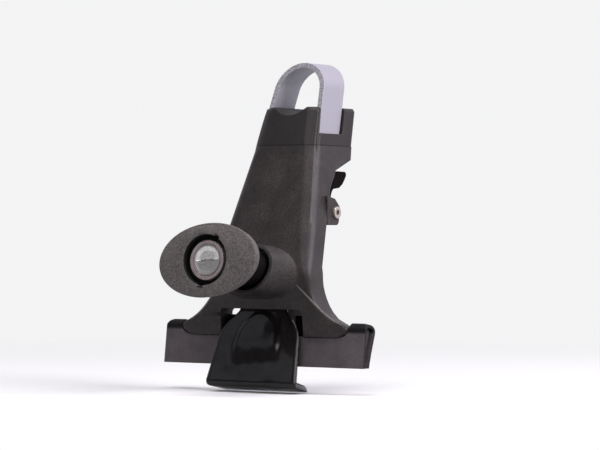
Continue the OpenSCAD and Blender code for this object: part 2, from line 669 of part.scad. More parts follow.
module clip_outline(inset) {
    h = clip_w / 2 - inset;
    s = shoulder_half - inset;
    n = neck_w / 2 - inset;
    r = 4;
    half = concat([[n, arch_z + big / 4], [n, shoulder_high_z], [lerp(n, s, 0.45), lerp(shoulder_high_z, shoulder_low_z, 0.42)],
                   [lerp(n, s, 0.8), lerp(shoulder_high_z, shoulder_low_z, 0.78)], [s, shoulder_low_z - 1.6]],
                  [[h, lip_z + 4]], arc(h - r, lip_z - 0.4, r, 0, -60, 4), [[h - r - 1.6, lip_z - 12]]);
    polygon(concat(half, [for (i = [len(half) - 1:-1:0]) [-half[i][0], half[i][1]]]));
}
flange_t = 2.2;
flange_rear = 22;
flange_rise = 8;
module neck_flanges() {
    // The neck's side walls, bent back from the sheet
    for (m = [0, 1]) mirror([m, 0, 0]) translate([neck_w / 2 - flange_t, 0, 0]) rotate([90, 0, 90]) linear_extrude(flange_t)
        translate([plate_top_y, arch_z]) polygon([[0.6, flange_rise + 2], [clip_t - 2.6, -8.6], [14, -11.2], [flange_rear, -9.4], [flange_rear, flange_rise - 4], [flange_rear - 5, flange_rise]]);
}
module clip_emboss() {
    // The stiffening panel pressed outward from the neck's foot
    panel = [[-5, arch_z - 1.2], [5, arch_z - 1.2], [13, arch_z - 8.4], [16.4, foot_z - 4], [17, foot_z - 13],
             [-17, foot_z - 13], [-16.4, foot_z - 4], [-13, arch_z - 8.4]];
    intersection() {
        clip_sheet(-1.1, 2.2, true, lip_run);
        along_y(big) polygon(panel);
    }
}
module door_clip() {
    color("#0e0e10") difference() {
        union() {
            intersection() {
                clip_sheet(0, clip_t, true, lip_run);
                along_y(big) clip_outline(0);
            }
            clip_emboss();
            neck_flanges();
        }
        on_axis(neck_rear_depth + 2) translate([-screw_d / 2 - 0.5, slot_low - swing_drop, 0]) neck_slot();
        on_axis(neck_rear_depth + 2) for (s = [-1, 1]) translate([s * rivet_x, rivet_up, 0]) cylinder(r = rivet_r + 0.03, h = clip_t + 4);
    }
}
module neck_slot() {
    cube([screw_d + 1, slot_high - slot_low, clip_t + 4]);
}
rivet_x = 8.4;
rivet_up = -11.6;
rivet_r = 1.6;
cradle_t = 2;
cradle_half = nut_half + 0.4;
cradle_up = 9.2;
module nut_cradle() {
    // A folded channel behind the neck that keeps the nut from turning
    color("#8b8b8e") on_axis(neck_rear_depth + 12) difference() {
        union() {
            for (s = [-1, 1]) translate([s * (cradle_half + cradle_t / 2 + 0.2) - cradle_t / 2, -9, 0]) cube([cradle_t, 9 + cradle_up, 12]);
            translate([-cradle_half - 1, -14.4, 12 - cradle_t]) cube([2 * cradle_half + 2, 5.6, cradle_t]);
            for (s = [-1, 1]) translate([s * (cradle_half - 0.6) - 1.8, -9.4, 12 - cradle_t]) cube([3.6, 3, cradle_t]);
        }
        for (s = [-1, 1]) translate([s * rivet_x, rivet_up, 0]) cylinder(r = rivet_r + 0.03, h = 20);
    }
}
module cradle_rivets() {
    color("#a0a0a3") for (s = [-1, 1]) on_axis(0) translate([s * rivet_x, rivet_up, 0]) {
        translate([0, 0, -neck_rear_depth - cradle_t]) cylinder(r = rivet_r, h = clip_t + cradle_t);
        translate([0, 0, -neck_rear_depth - cradle_t - 1.2]) cylinder(r = rivet_r + 1.2, h = 1.2);
        translate([0, 0, -neck_front_depth]) cylinder(r = rivet_r, h = 0.1);
    }
}
liner_t = 1.2;
module clip_liner() {
    color("#2a2a2c") intersection() {
        clip_sheet(clip_t + 0.02, liner_t, false, lip_run - 1.2);
        along_y(big) clip_outline(3.2);
        translate([-big / 2, -big / 2, -big * 1.5]) cube([big, big, big * 1.5 + floor_z - 1.5]);
    }
}

// The base: a rail in a rubber boot, both cut down in the middle where the legs stand
pad_front_low = [-50.7, floor_z];
pad_front_high = [-47.9, floor_z + 22.6];
module pad_outline() {
    polygon(concat([pad_front_low, pad_front_high], arc(-43.4, floor_z + 20.6, 4.9, 150, 95, 3), arc(-41.6, floor_z + 20.4, 4.7, 60, -20, 5), [[-41.2, floor_z + 8], [-43.6, floor_z]]));
}
module pad_hollow() {
    intersection() {
        offset(delta = -pad_wall) pad_outline();
        translate([-big, floor_z + pad_floor]) square([2 * big, big]);
    }
}
module foot_outline(grow) {
    polygon(concat([for (i = [0:6]) let (z = lerp(foot_top_z + 8, foot_top_z, i / 6)) [foot_half + grow, z]],
                   [for (i = [1:6]) let (z = lerp(foot_top_z, foot_z, i / 6)) [foot_round(z) + grow, z]], [[foot_half - 7, foot_z - grow]],
                   [[-foot_half + 7, foot_z - grow]], [for (i = [6:-1:1]) let (z = lerp(foot_top_z, foot_z, i / 6)) [-foot_round(z) - grow, z]],
                   [for (i = [6:-1:0]) let (z = lerp(foot_top_z + 8, foot_top_z, i / 6)) [-foot_half - grow, z]]));
}
module pad_end_round() {
    along_y(big) polygon(concat(arc(pad_l / 2 - 4, floor_z + 21.6, 4, 0, 90, 5), arc(-pad_l / 2 + 4, floor_z + 21.6, 4, 90, 180, 5),
                                [[-pad_l / 2, floor_z - 1], [pad_l / 2, floor_z - 1]]));
}
module base_pad() {
    color("#3d3c44") difference() {
        intersection() {
            along_x(pad_l) pad_outline();
            pad_end_round();
        }
        along_x(big) pad_hollow();
        along_y(big) foot_outline(0.3);
    }
}
rail_l = pad_l - 5;
module base_rail() {
    color("#55545a") difference() {
        along_x(rail_l) offset(delta = -0.1) pad_hollow();
        along_y(big) foot_outline(0);
        for (s = [-1, 1]) translate([s * base_screw_x, base_screw_y, 0]) {
            translate([0, 0, base_screw_low - 0.5]) cylinder(r = base_screw_d / 2 + run, h = big / 2);
        }
    }
}
module base_screws() {
    color("#9a9a9c") for (s = [-1, 1]) translate([s * base_screw_x, base_screw_y, 0])
        translate([0, 0, base_screw_low]) cylinder(d = base_screw_d, h = base_screw_top - 0.5 - base_screw_low);
}

tower_body();
saddle_cap();
saddle_screws();
crossbar_strap();
strap_cross_pin();
pull_links();
clamp_lever();
lever_pivot_screw();
lever_pivot_nut();
pivot_washers();
knob();
knob_hub();
lock_housing();
lock_plug();
lock_cam();
draw_screw();
thrust_washer();
retaining_ring();
trunnion_nut();
door_clip();
nut_cradle();
cradle_rivets();
clip_liner();
base_pad();
base_rail();
base_screws();
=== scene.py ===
# %% [markdown]
# A roof bar foot, dressed for a studio picture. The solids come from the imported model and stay
# where they are. This lesson gives them a camera, a pale studio, real finishes and rounded edges,
# and shapes the pieces whose looks need more than plain solids.

# %% Load the frame
import json
import math

import bmesh
import bpy
import numpy as np
from mathutils import Matrix, Vector


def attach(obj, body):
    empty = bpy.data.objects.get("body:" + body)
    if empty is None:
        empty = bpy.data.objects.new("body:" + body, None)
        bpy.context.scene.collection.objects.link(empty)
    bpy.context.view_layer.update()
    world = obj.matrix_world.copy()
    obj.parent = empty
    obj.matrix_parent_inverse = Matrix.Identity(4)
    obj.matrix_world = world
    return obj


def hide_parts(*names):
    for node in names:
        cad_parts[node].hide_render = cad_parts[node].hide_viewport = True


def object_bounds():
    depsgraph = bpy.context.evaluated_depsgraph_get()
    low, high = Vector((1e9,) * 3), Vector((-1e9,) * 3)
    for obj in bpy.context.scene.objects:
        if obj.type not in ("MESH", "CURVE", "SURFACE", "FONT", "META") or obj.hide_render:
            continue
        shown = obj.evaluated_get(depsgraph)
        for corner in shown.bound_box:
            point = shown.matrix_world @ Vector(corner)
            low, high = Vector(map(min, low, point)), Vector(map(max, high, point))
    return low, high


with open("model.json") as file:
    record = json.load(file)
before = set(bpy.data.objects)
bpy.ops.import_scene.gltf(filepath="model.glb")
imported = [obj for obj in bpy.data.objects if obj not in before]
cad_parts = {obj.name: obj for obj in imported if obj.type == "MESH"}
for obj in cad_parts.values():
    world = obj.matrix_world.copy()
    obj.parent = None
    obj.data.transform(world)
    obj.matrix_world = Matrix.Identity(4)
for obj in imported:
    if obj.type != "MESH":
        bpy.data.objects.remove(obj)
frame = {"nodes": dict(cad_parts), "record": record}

MM = 0.001
nodes = frame["nodes"]
cad_low, cad_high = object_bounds()
print(len(nodes), "solids, from", [round(v, 4) for v in cad_low], "to", [round(v, 4) for v in cad_high])

# %% [markdown]
# A camera is a lens object at a place, turned towards a target. Blender's cameras look along their
# own -Z, so to_track_quat turns -Z to the target. The foot is seen through a long lens, almost level
# with it and about 32 degrees round from the knob's side. The numbers come from a camera that was
# solved from straight edges and one known diameter, and not from moving the camera by hand.

# %% Camera
camera_place = Vector((0.8788, -1.3996, -0.0815))
camera_target = Vector((0.00487, -0.01692, -0.07898))
camera_roll = math.radians(0.27)
lens_mm = 166.6

lens = bpy.data.cameras.new("lens")
lens.lens, lens.sensor_width, lens.sensor_fit = lens_mm, 36.0, "HORIZONTAL"
camera = bpy.data.objects.new("camera", lens)
bpy.context.scene.collection.objects.link(camera)
look = (camera_target - camera_place).to_track_quat("-Z", "Y").to_matrix()
rolled = look @ Matrix.Rotation(camera_roll, 3, "Z")
camera.matrix_world = Matrix.Translation(camera_place) @ rolled.to_4x4()
bpy.context.scene.camera = camera
print("camera", round((camera_target - camera_place).length, 3), "m away")

# %% [markdown]
# A finish is a small tree of nodes. Every tree here reads Object coordinates, which are metres in
# the frame, so a grain of 0.4 mm is 0.4 mm on every piece. Three noises do most of the work: a fine
# one for the grain's bumps, the same one for the gloss, and a broad one for the slow change of shade.
# The Bevel node rounds the light at hard edges, and where its normal leaves the true one it marks the edge,
# so edges can be painted paler: a painted highlight where a rounded edge would catch the light.

# %% Finish helpers
class Tree:
    """A material's nodes, made and joined in order."""

    def __init__(self, name, material=None):
        self.material = material or bpy.data.materials.new(name)
        self.material.use_nodes = True
        self.nodes = self.material.node_tree.nodes
        self.links = self.material.node_tree.links
        self.shader = self.nodes["Principled BSDF"]
        self.place = self.add("ShaderNodeTexCoord").outputs["Object"]

    def add(self, kind, **values):
        node = self.nodes.new(kind)
        for key, value in values.items():
            setattr(node, key, value)
        return node

    def put(self, node, **values):
        """Sets inputs by name, or joins them where the value is another node's output."""
        for key, value in values.items():
            socket = node.inputs[key.replace("_", " ")]
            if isinstance(value, bpy.types.NodeSocket):
                self.links.new(value, socket)
            else:
                socket.default_value = value
        return node

    def noise(self, size_mm, stretch=(1, 1, 1), detail=3.0, rough=0.55):
        """Noise whose lumps are about size_mm across, drawn out where stretch is under 1."""
        way = self.add("ShaderNodeMapping")
        self.links.new(self.place, way.inputs["Vector"])
        way.inputs["Scale"].default_value = stretch
        lumps = self.add("ShaderNodeTexNoise")
        scale = 1 / (size_mm * MM)
        return self.put(lumps, Vector=way.outputs["Vector"], Scale=scale, Detail=detail, Roughness=rough)

    def ranged(self, value, low, high, start=0.3, end=0.7):
        """The value from start..end carried over to low..high."""
        node = self.add("ShaderNodeMapRange")
        self.put(node, Value=value)
        for key, number in (("From Min", start), ("From Max", end), ("To Min", low), ("To Max", high)):
            node.inputs[key].default_value = number
        return node.outputs["Result"]

    def math(self, work, a, b=0.0):
        node = self.add("ShaderNodeMath", operation=work)
        for socket, value in zip(node.inputs, (a, b)):
            if isinstance(value, bpy.types.NodeSocket):
                self.links.new(value, socket)
            else:
                socket.default_value = value
        return node.outputs[0]

    def blend(self, share, a, b, how="MIX"):
        """Colour a and colour b, mixed by share."""
        node = self.add("ShaderNodeMix", data_type="RGBA", blend_type=how)
        for index, value in ((0, share), (6, a), (7, b)):
            if isinstance(value, bpy.types.NodeSocket):
                self.links.new(value, node.inputs[index])
            else:
                node.inputs[index].default_value = value
        return node.outputs[2]

    def edges(self, radius_mm, low=0.02, high=0.25):
        """The rounded normal, and a mask that is 1 at edges: 1 - rounded normal . true normal."""
        soft = self.add("ShaderNodeBevel", samples=6)
        soft.inputs["Radius"].default_value = radius_mm * MM
        true = self.add("ShaderNodeNewGeometry")
        dot = self.add("ShaderNodeVectorMath", operation="DOT_PRODUCT")
        self.links.new(soft.outputs["Normal"], dot.inputs[0])
        self.links.new(true.outputs["Normal"], dot.inputs[1])
        off = self.math("SUBTRACT", 1.0, dot.outputs["Value"])
        return soft.outputs["Normal"], self.ranged(off, 0.0, 1.0, low, high)

    def bump(self, height, depth_mm, under=None, strength=1.0):
        node = self.add("ShaderNodeBump")
        self.put(node, Height=height, Distance=depth_mm * MM, Strength=strength)
        if under is not None:
            self.links.new(under, node.inputs["Normal"])
        return node.outputs["Normal"]

# %% [markdown]
# Moulded plastic and rubber differ only in numbers, so one function makes them all. The real column
# has a spark-eroded grain, pits about a millimetre across, which dull the gloss where they lie. The
# saddle and the column are two mouldings, and a dark line is drawn at the height where they meet.

# %% Moulded plastic
seam_z = -0.0323


def rgba(colour, factor=1.0):
    return (*[min(c * factor, 1.0) for c in colour], 1.0)


def moulded(name, colour, gloss=(0.42, 0.6), grain_mm=0.45, grain_depth=0.03, mottle=0.16,
            speck=0.75, edge=0.35, edge_mm=0.7, shine=0.45, seam=False):
    """Grained plastic or rubber: fine grain in the bumps and gloss, slow change of shade, edges painted
    paler as a painted highlight.
    """
    tree = Tree(name)
    grain = tree.noise(grain_mm, detail=4.0, rough=0.6).outputs["Fac"]
    slow = tree.noise(14.0, detail=2.0).outputs["Fac"]
    rounded, mask = tree.edges(edge_mm)
    base = tree.blend(tree.ranged(slow, 0, 1), rgba(colour, 1 - mottle), rgba(colour, 1 + mottle))
    dots = tree.blend(tree.ranged(grain, 0, 1, 0.35, 0.65), rgba((speck, speck, speck)), rgba((1, 1, 1)))
    body = tree.blend(1.0, base, dots, "MULTIPLY")
    # Paler edges, colour * 2.4 + 0.03 where the edge mask is 1: a painted highlight.
    pale = tree.blend(tree.math("MULTIPLY", mask, edge), body, rgba([c * 2.4 + 0.03 for c in colour]))
    if seam:
        height = tree.add("ShaderNodeSeparateXYZ")
        tree.links.new(tree.place, height.inputs[0])
        gap = tree.math("ABSOLUTE", tree.math("SUBTRACT", height.outputs["Z"], seam_z))
        pale = tree.blend(tree.ranged(gap, 1, 0, 0.0002, 0.0006), pale, rgba((0.001, 0.001, 0.001)))
    tree.put(tree.shader, Base_Color=pale, Roughness=tree.ranged(grain, gloss[0], gloss[1], 0.3, 0.7))
    tree.put(tree.shader, Normal=tree.bump(grain, grain_depth, rounded), Specular_IOR_Level=shine)
    return tree.material


print("mouldings meet at", seam_z, "m")

# %% [markdown]
# Metal takes its look from what it mirrors, so its colour is even and its gloss is not: brushing stretches
# the noise one way, plating leaves duller patches, and edges are painted brighter, a painted highlight. A
# share of bare metal under 1 stands for a cast or coated surface that is only partly metallic.

# %% Metal
def metal(name, colour, gloss=(0.28, 0.42), brush=(1, 1, 1), brush_mm=0.3, depth=0.006,
          edge=0.4, edge_mm=0.4, dull=0.12, bare=1.0):
    """Bare or plated metal: brushed or blasted bumps, patches of duller plating, and edges painted brighter
    as a painted highlight.
    """
    tree = Tree(name)
    fine = tree.noise(brush_mm, brush, detail=5.0, rough=0.65).outputs["Fac"]
    patch = tree.noise(6.0, detail=3.0).outputs["Fac"]
    rounded, mask = tree.edges(edge_mm)
    base = tree.blend(tree.ranged(patch, 0, 1), rgba(colour, 1 - dull), rgba(colour, 1 + dull * 0.5))
    # Brighter edges, colour * 1.25 + 0.08 where the edge mask is 1: a painted highlight.
    pale = tree.blend(tree.math("MULTIPLY", mask, edge), base, rgba([c * 1.25 + 0.08 for c in colour]))
    shine = tree.math("ADD", tree.ranged(fine, gloss[0], gloss[1]), tree.ranged(patch, 0.0, 0.08))
    tree.put(tree.shader, Base_Color=pale, Roughness=shine, Normal=tree.bump(fine, depth, rounded))
    tree.shader.inputs["Metallic"].default_value = bare
    return tree.material

# %% [markdown]
# A finish can change at one place of a piece: the knob's bore is painted dark inside as painted shade, the
# pivot screw's socket is dirty, and the lower half of the key plug's shutter is painted darker as painted
# shade. Instead of cutting the mesh into parts, these helpers blend in a second colour by distance from an
# axis or a plane.

# %% Local changes
def ringed(material, centre, axis, radius, colour):
    """Another colour within radius mm of an axis: where |q - (q . a) a| < radius, with q = p - centre."""
    tree = Tree(material.name, material)
    off = tree.add("ShaderNodeVectorMath", operation="SUBTRACT")
    tree.links.new(tree.place, off.inputs[0])
    off.inputs[1].default_value = [v * MM for v in centre]
    along = tree.add("ShaderNodeVectorMath", operation="PROJECT")
    tree.links.new(off.outputs["Vector"], along.inputs[0])
    along.inputs[1].default_value = axis
    away = tree.add("ShaderNodeVectorMath", operation="DISTANCE")
    tree.links.new(off.outputs["Vector"], away.inputs[0])
    tree.links.new(along.outputs["Vector"], away.inputs[1])
    inside = tree.ranged(away.outputs["Value"], 1, 0, (radius - 0.1) * MM, (radius + 0.1) * MM)
    old = tree.shader.inputs["Base Color"].links[0].from_socket
    tree.put(tree.shader, Base_Color=tree.blend(inside, old, rgba(colour)))
    return material


def paint_shade_on_lower_half(material, centre, up, colour):
    """Painted shade on the lower half: another colour where (p - centre) . up < 0."""
    tree = Tree(material.name, material)
    off = tree.add("ShaderNodeVectorMath", operation="SUBTRACT")
    tree.links.new(tree.place, off.inputs[0])
    off.inputs[1].default_value = [v * MM for v in centre]
    over = tree.add("ShaderNodeVectorMath", operation="DOT_PRODUCT")
    tree.links.new(off.outputs["Vector"], over.inputs[0])
    over.inputs[1].default_value = up
    below = tree.ranged(over.outputs["Value"], 1, 0, -0.0001, 0.0001)
    old = tree.shader.inputs["Base Color"].links[0].from_socket
    tree.put(tree.shader, Base_Color=tree.blend(tree.math("MULTIPLY", below, 0.85), old, rgba(colour)))
    return material

# %% [markdown]
# Three finishes belong to one piece each. The clip is dipped in black lacquer, which lies in slow waves,
# and its cut edges are painted paler as a painted highlight. The base wears a rubber boot that is darker on
# its top, above z = -141.2 mm, and whose end faces are painted darker as painted shade. The strap is
# blasted metal, smooth on its faces and coarse where it was cut.

# %% Lacquer, boot and blasted band
def lacquered(name, colour):
    """Glossy black lacquer: waves about 13 mm long under a fine orange peel, with cut edges painted paler
    as a painted highlight.
    """
    tree = Tree(name)
    wave = tree.noise(13.0, detail=1.0).outputs["Fac"]
    peel = tree.noise(1.6, detail=2.0).outputs["Fac"]
    rounded, mask = tree.edges(0.5)
    body = tree.blend(tree.ranged(wave, 0, 1), rgba(colour, 0.7), rgba(colour, 1.4))
    # Paler cut edges: a painted highlight.
    edge = tree.blend(tree.math("MULTIPLY", mask, 0.6), body, rgba((0.10, 0.09, 0.085)))
    low = tree.bump(wave, 0.75, rounded)
    tree.put(tree.shader, Base_Color=edge, Roughness=tree.ranged(peel, 0.12, 0.2))
    tree.put(tree.shader, Normal=tree.bump(peel, 0.01, low))
    return tree.material


def booted(name, face, rim):
    """Rubber boot: the face's colour, and a darker colour on its top above z = -141.2 mm and on the end
    faces, where the darker colour is painted shade.
    """
    material = moulded(name, face, gloss=(0.55, 0.7), grain_mm=0.7, speck=0.7,
                       edge=0.15, edge_mm=0.5, shine=0.12)
    tree = Tree(name, material)
    height = tree.add("ShaderNodeSeparateXYZ")
    tree.links.new(tree.place, height.inputs[0])
    facing = tree.add("ShaderNodeSeparateXYZ")
    tree.links.new(tree.add("ShaderNodeNewGeometry").outputs["True Normal"], facing.inputs[0])
    # Darker towards the top: the second colour from z = -141.2 mm up.
    rolled = tree.ranged(height.outputs["Z"], 0, 1, -0.1412, -0.1398)
    # End faces, found by which way the face points, take the second colour: painted shade.
    ends = tree.ranged(tree.math("ABSOLUTE", facing.outputs["X"]), 0, 0.8, 0.5, 0.8)
    old = tree.shader.inputs["Base Color"].links[0].from_socket
    tree.put(tree.shader, Base_Color=tree.blend(tree.math("MAXIMUM", rolled, ends), old, rgba(rim)))
    return material


def blasted(name, colour):
    """Bead-blasted band: fine even bumps on its face, coarser specks where a cut edge faces along Y."""
    tree = Tree(name)
    fine = tree.noise(0.35, detail=3.0).outputs["Fac"]
    coarse = tree.noise(0.9, detail=2.0, rough=0.7).outputs["Fac"]
    facing = tree.add("ShaderNodeSeparateXYZ")
    tree.links.new(tree.add("ShaderNodeNewGeometry").outputs["Normal"], facing.inputs[0])
    cut = tree.ranged(tree.math("ABSOLUTE", facing.outputs["Y"]), 0, 1, 0.6, 0.8)
    spread = tree.ranged(coarse, 0, 1, 0.42, 0.58)
    dots = tree.blend(spread, rgba(colour, 0.62), rgba([c + 0.12 for c in colour]))
    base = tree.blend(cut, rgba(colour), dots)
    rounded, mask = tree.edges(0.35)
    height = tree.math("ADD", fine, tree.math("MULTIPLY", coarse, cut))
    tree.put(tree.shader, Base_Color=base, Roughness=tree.ranged(fine, 0.40, 0.55))
    tree.put(tree.shader, Normal=tree.bump(height, 0.02, rounded))
    tree.shader.inputs["Metallic"].default_value = 0.5
    return tree.material

# %% [markdown]
# The finishes. Colours are read from the photograph and written as the plain colour of the stuff, without
# its light: blacks are a few hundredths, because even black plastic is never 0. Where noted, a colour also
# holds painted shade or a painted highlight.

# %% Finishes
knob_centre = (0.0, -107.5, -99.0)
tilt = math.radians(7)
knob_axis = (0.0, -math.cos(tilt), math.sin(tilt))
lever_pivot = (0.0, -17.06, -71.6)

finishes = {
    "tower_black": moulded("tower_black", (0.038, 0.031, 0.030), grain_mm=1.0, grain_depth=0.06,
                           speck=0.4, mottle=0.35, shine=0.36, seam=True),
    # The saddle is the column's own plastic; its colour, about 55% of the column's, is a painted shadow of
    # the crossbar over it.
    "saddle_black": moulded("saddle_black", (0.021, 0.017, 0.017), grain_mm=0.9, speck=0.5,
                            shine=0.36, seam=True),
    "strap_aluminium": blasted("strap_aluminium", (0.40, 0.39, 0.44)),
    "zinc_steel": metal("zinc_steel", (0.52, 0.52, 0.54), brush=(1, 1, 0.2)),
    "pivot_steel": metal("pivot_steel", (0.56, 0.50, 0.44), gloss=(0.24, 0.36), bare=0.8),
    "ring_steel": metal("ring_steel", (0.25, 0.25, 0.27), gloss=(0.4, 0.5)),
    "lever_black": moulded("lever_black", (0.007, 0.005, 0.005), grain_mm=0.9, grain_depth=0.05,
                           edge=0.05, shine=0.02),
    "knob_grey": moulded("knob_grey", (0.165, 0.148, 0.144), gloss=(0.5, 0.68), grain_mm=0.95,
                         grain_depth=0.14, speck=0.4, shine=0.3),
    "hub_black": moulded("hub_black", (0.006, 0.005, 0.005), gloss=(0.4, 0.55), shine=0.08),
    "lock_metal": metal("lock_metal", (0.36, 0.31, 0.31), gloss=(0.35, 0.5), dull=0.2, bare=0.5),
    "lock_face": metal("lock_face", (0.80, 0.80, 0.78), gloss=(0.2, 0.3), brush=(0.1, 1, 1),
                       brush_mm=0.25, bare=0.55),
    "washer_brass": metal("washer_brass", (0.62, 0.48, 0.24)),
    "clip_gloss": lacquered("clip_gloss", (0.0075, 0.0062, 0.0062)),
    "liner_rubber": moulded("liner_rubber", (0.025, 0.025, 0.026), gloss=(0.7, 0.85)),
    "pad_rubber": booted("pad_rubber", (0.110, 0.096, 0.103), (0.009, 0.008, 0.009)),
    "rail_plastic": moulded("rail_plastic", (0.06, 0.06, 0.065)),
}
# Near black within 14.55 mm of the knob's axis: painted shade inside the bore.
ringed(finishes["knob_grey"], knob_centre, knob_axis, 14.55, (0.008, 0.007, 0.007))
ringed(finishes["pivot_steel"], lever_pivot, (1, 0, 0), 1.5, (0.10, 0.05, 0.03))
# The lower half of the key plug's face is painted darker: painted shade.
paint_shade_on_lower_half(finishes["lock_face"], knob_centre, (-0.07, 0.12, 0.99), (0.36, 0.36, 0.35))

slot_of = {row["node"]: row["material_slot"] for row in frame["record"]["subparts"]}
for name, solid in nodes.items():
    solid.data.materials.clear()
    solid.data.materials.append(finishes[slot_of[name]])
print(len(finishes), "finishes on", len(nodes), "solids")

# %% [markdown]
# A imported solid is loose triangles, which show flat. A copy of one can be merged, its shallow
# angles shown smooth and its true edges kept, so that a cast or moulded wall flows as the real one
# does. The copy stands for the solid and stays exactly where it is.

# %% Smooth copies of solids
body_of = {name: body for body, names in frame["record"]["behaviour"]["bodies"].items() for name in names}


def stands_for(piece, node):
    """The piece takes the node's place, body and finish."""
    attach(piece, body_of[node])
    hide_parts(node)
    if not piece.data.materials:
        piece.data.materials.append(finishes[slot_of[node]])


def smooth_copy(node, sharp_deg=32, edge_mm=0.0):
    """The solid's mesh merged, smooth below sharp_deg, with its hard edges bevelled by edge_mm."""
    mesh = nodes[node].data.copy()
    mesh.name = f"{node}_skin"
    form = bmesh.new()
    form.from_mesh(mesh)
    bmesh.ops.remove_doubles(form, verts=form.verts, dist=2e-6)
    bmesh.ops.dissolve_limit(form, angle_limit=math.radians(0.3), verts=form.verts, edges=form.edges)
    form.to_mesh(mesh)
    form.free()
    mesh.shade_smooth()
    mesh.set_sharp_from_angle(angle=math.radians(sharp_deg))
    piece = bpy.data.objects.new(f"{node}_skin", mesh)
    bpy.context.scene.collection.objects.link(piece)
    if edge_mm:
        bevel = piece.modifiers.new("edge", "BEVEL")
        bevel.width, bevel.segments, bevel.limit_method = edge_mm * MM, 2, "ANGLE"
        bevel.angle_limit = math.radians(sharp_deg)
        bevel.harden_normals, bevel.use_clamp_overlap = True, True
    level = piece.modifiers.new("level", "WEIGHTED_NORMAL")
    level.keep_sharp = True
    stands_for(piece, node)
    return piece


shaped_anew = ("knob", "door_clip", "lock_housing", "lock_plug")
sharpness = {"tower_body": 24, "clamp_lever": 40}
rounding = {"crossbar_strap": 0.35, "base_pad": 0.5, "clamp_lever": 0.5, "saddle_cap": 0.45}
skins = {name: smooth_copy(name, sharpness.get(name, 32), rounding.get(name, 0.0))
         for name in nodes if name not in shaped_anew}
print("smooth copies:", len(skins), "with", sum(len(s.data.polygons) for s in skins.values()), "faces")

# %% [markdown]
# The new shapes are grids: a function gives the points of a whole sheet at once, and neighbours
# along its rows and columns become its faces. A grid may close on itself either way, as a ring does.

# %% Grid surfaces
def grid_faces(rows, columns, closed_rows=False, closed_columns=False):
    """Quads (i, j), (i, j+1), (i+1, j+1), (i+1, j) of a grid, wrapped where it is closed."""
    row = np.arange(rows if closed_rows else rows - 1)
    column = np.arange(columns if closed_columns else columns - 1)
    i, j = np.meshgrid(row, column, indexing="ij")
    down, across = (i + 1) % rows, (j + 1) % columns
    corners = [i * columns + j, i * columns + across, down * columns + across, down * columns + j]
    return np.stack(corners, -1).reshape(-1, 4)


def solid_piece(name, points, faces, smooth_deg=30):
    """A mesh object from points in mm and faces, shaded smooth below smooth_deg."""
    mesh = bpy.data.meshes.new(name)
    metres = np.asarray(points).reshape(-1, 3) * MM
    mesh.from_pydata(metres.tolist(), [], [tuple(int(v) for v in f) for f in faces])
    mesh.shade_smooth()
    mesh.set_sharp_from_angle(angle=math.radians(smooth_deg))
    piece = bpy.data.objects.new(name, mesh)
    bpy.context.scene.collection.objects.link(piece)
    return piece


def face_outwards(piece):
    """Turns every face of a closed mesh outwards."""
    form = bmesh.new()
    form.from_mesh(piece.data)
    bmesh.ops.recalc_face_normals(form, faces=form.faces)
    form.to_mesh(piece.data)
    form.free()


def smooth(t):
    """3 t^2 - 2 t^3 between 0 and 1: flat at both ends."""
    t = np.clip(t, 0, 1)
    return t * t * (3 - 2 * t)

# %% [markdown]
# The knob is an oval plate round a bore. On the real one the face falls away a little to its rim,
# the rim is rounded, and two notches in the bore take the hub's lugs. It could be a cylinder that is
# scaled and bevelled, but its rounding would stretch with it. One profile, carried round the axis,
# gives all of it evenly: near the bore it is a circle, near the rim an oval.

# %% Knob
knob_place = np.array(knob_centre)
along_out = np.array(knob_axis)
along_up = np.array([0.0, math.sin(tilt), math.cos(tilt)])
along_x = np.array([1.0, 0.0, 0.0])
oval_half = np.array([32.9, 21.1])
oval_turn = math.radians(5.8)
bore_radius = 14.25
notch_angles = np.radians([62.0, 262.0])
plate_depth, boss_depth, crown = 6.2, 14.0, 2.0


def knob_points(around=240):
    """A profile carried round the axis.

    Each row is (share, inset, depth): share 0 is the bore's circle grown by inset, and share 1 is
    the oval shrunk by it. The face falls by crown * share^1.6 from the bore to the rim.
    """
    face = [(k, 0.6 * (1 - k) + 1.2 * k, 0.03 - crown * (1 - k**1.6)) for k in np.linspace(0, 1, 14)]
    arc = np.linspace(0, math.pi / 2, 8)[1:]
    rim = [(1, 1.2 * (1 - math.sin(a)), 0.03 + 1.2 * (1 - math.cos(a))) for a in arc]
    heel = [(1, 0.7 + 1.6 * (1 - math.cos(a)), plate_depth - 1.6 + 1.6 * math.sin(a))
            for a in np.linspace(0, math.pi / 2, 6)]
    boss = [(0, 3.5, plate_depth), (0, 3.3, plate_depth + 0.6),
            (0, 2.3, boss_depth - 0.4), (0, 1.9, boss_depth)]
    bore = [(0, 0.0, boss_depth), (0, 0.0, 9.0), (0, 0.0, 4.0),
            (0, 0.0, 0.6 - crown), (0, 0.2, 0.2 - crown)]
    share, inset, depth = np.array(face + rim + heel + boss + bore).T
    a = np.linspace(0, 2 * np.pi, around, endpoint=False)
    off = np.abs((a[:, None] - notch_angles + np.pi) % (2 * np.pi) - np.pi).min(axis=1) * bore_radius
    notch = np.where(off < 1.75, 1.05, 0.0)
    near_bore = (share == 0) & (inset < 1.0)
    circle = bore_radius + inset[:, None] + notch * near_bore[:, None]
    ring = np.stack([circle * np.cos(a), circle * np.sin(a)], -1)
    wide = (oval_half[0] - inset[:, None]) * np.cos(a - oval_turn)
    high = (oval_half[1] - inset[:, None]) * np.sin(a - oval_turn)
    oval = np.stack([wide * math.cos(oval_turn) - high * math.sin(oval_turn),
                     wide * math.sin(oval_turn) + high * math.cos(oval_turn)], -1)
    flat = ring * (1 - share)[:, None, None] + oval * share[:, None, None]
    outline = knob_place + flat[..., :1] * along_x + flat[..., 1:] * along_up
    return outline - depth[:, None, None] * along_out


